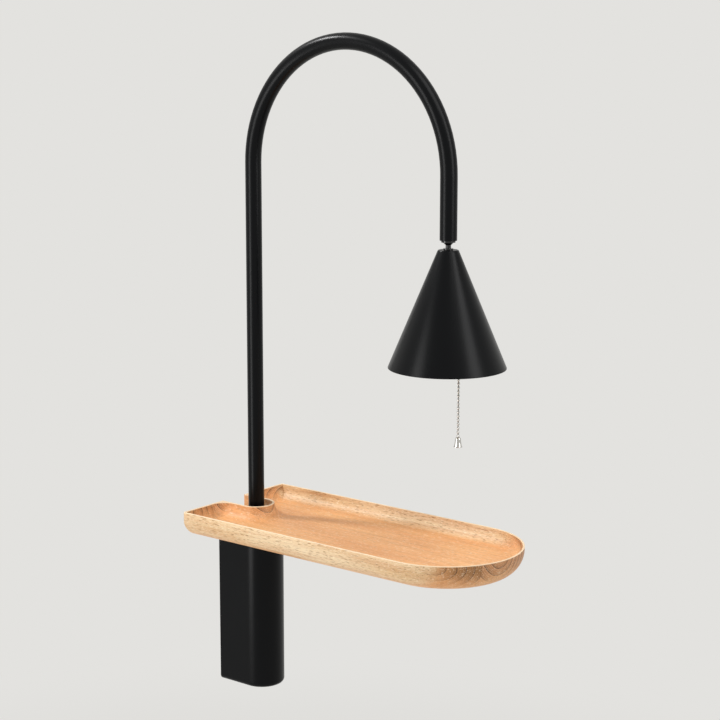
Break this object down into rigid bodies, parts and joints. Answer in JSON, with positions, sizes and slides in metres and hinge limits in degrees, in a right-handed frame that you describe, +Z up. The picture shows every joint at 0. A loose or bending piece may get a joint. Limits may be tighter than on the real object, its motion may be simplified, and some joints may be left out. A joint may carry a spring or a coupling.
{
  "type": "wall lamp with shelf",
  "caption": "Wall lamp with a dished wooden shelf on a slim D-shaped housing, a hooked tube arm, a small cone shade on a ball swivel and a bead pull chain with a bell.",
  "frame": {"origin": "on the wall, midway between the two wall screws", "axes": "+Z up, +Y into the wall, so the tray reaches out along -Y; +X to the right for someone facing the wall"},
  "size_m": [0.13, 0.3, 0.5754],
  "materials": {
    "black_powder_coat": "satin black powder coat",
    "pale_wood": "oiled rubberwood",
    "nickel_plate": "bright nickel plate",
    "zinc_steel": "zinc-plated steel",
    "bare_aluminium": "satin, as turned",
    "opal_acrylic": "opal, satin",
    "white_plastic": "moulded, satin",
    "black_plastic": "moulded, satin",
    "brass": "turned brass",
    "black_rubber": "moulded rubber",
    "phosphor": "yellow phosphor resin",
    "grey_sheath": "cable sheath"
  },
  "bodies": {
    "housing": {"housing_shell": "black_powder_coat", "wall_plate": "zinc_steel", "housing_screw": "zinc_steel", "cable_grommet": "black_rubber", "terminal_block": "white_plastic", "terminal_clamps": "brass", "terminal_screws": "zinc_steel", "earth_screw": "brass", "led_driver": "white_plastic", "driver_screws": "zinc_steel", "driver_input_lead": "grey_sheath", "driver_output_lead": "grey_sheath", "tray_bracket": "black_powder_coat", "bracket_screws": "zinc_steel", "tray": "pale_wood", "tray_screws": "zinc_steel", "arm_socket": "black_powder_coat", "stop_pin": "zinc_steel", "socket_nut": "zinc_steel", "thrust_washer": "white_plastic"},
    "arm": {"arm_spigot": "brass", "stop_washer": "zinc_steel", "spigot_nut": "zinc_steel", "arm_tube": "black_powder_coat", "arm_lead": "grey_sheath", "swivel_grub_screw": "zinc_steel"},
    "swivel": {"swivel_cup": "black_powder_coat", "ball_seat_ring": "white_plastic", "cup_plug": "brass"},
    "shade_unit": {"swivel_ball": "black_powder_coat", "shade": "black_powder_coat", "hanger_strap": "zinc_steel", "shade_nut": "brass", "led_carrier": "bare_aluminium", "carrier_screws": "zinc_steel", "led_board": "white_plastic", "board_screws": "zinc_steel", "led_chips": "phosphor", "diffuser": "opal_acrylic", "chain_eyelet": "nickel_plate", "pull_switch": "black_plastic", "switch_nut": "nickel_plate", "shade_lead": "grey_sheath"},
    "plunger": {"switch_plunger": "brass"},
    "chain": {"pull_chain": "nickel_plate", "bell_pull": "nickel_plate"}
  },
  "joints": [
    {"name": "arm_swing", "type": "hinge", "parent": "housing", "child": "arm", "pos_m": [0, -0.0275, 0.076], "axis": [0, 0, 1], "range_deg": [-75, 75]},
    {"name": "shade_spin", "type": "hinge", "parent": "arm", "child": "swivel", "pos_m": [0, -0.2355, 0.3435], "axis": [0, 0, 1], "range_deg": [-150, 150]},
    {"name": "shade_tilt", "type": "hinge", "parent": "swivel", "child": "shade_unit", "pos_m": [0, -0.2355, 0.3439], "axis": [1, 0, 0], "range_deg": [-35, 35]},
    {"name": "switch_pull", "type": "slide", "parent": "shade_unit", "child": "plunger", "axis": [0, 0, -1], "range_m": [0, 0.006], "stiffness_N_per_m": 300, "springref_m": -0.002},
    {"name": "chain_swing", "type": "hinge", "parent": "plunger", "child": "chain", "pos_m": [0, -0.247, 0.2667], "axis": [1, 0, 0], "range_deg": [-40, 40]}
  ]
}
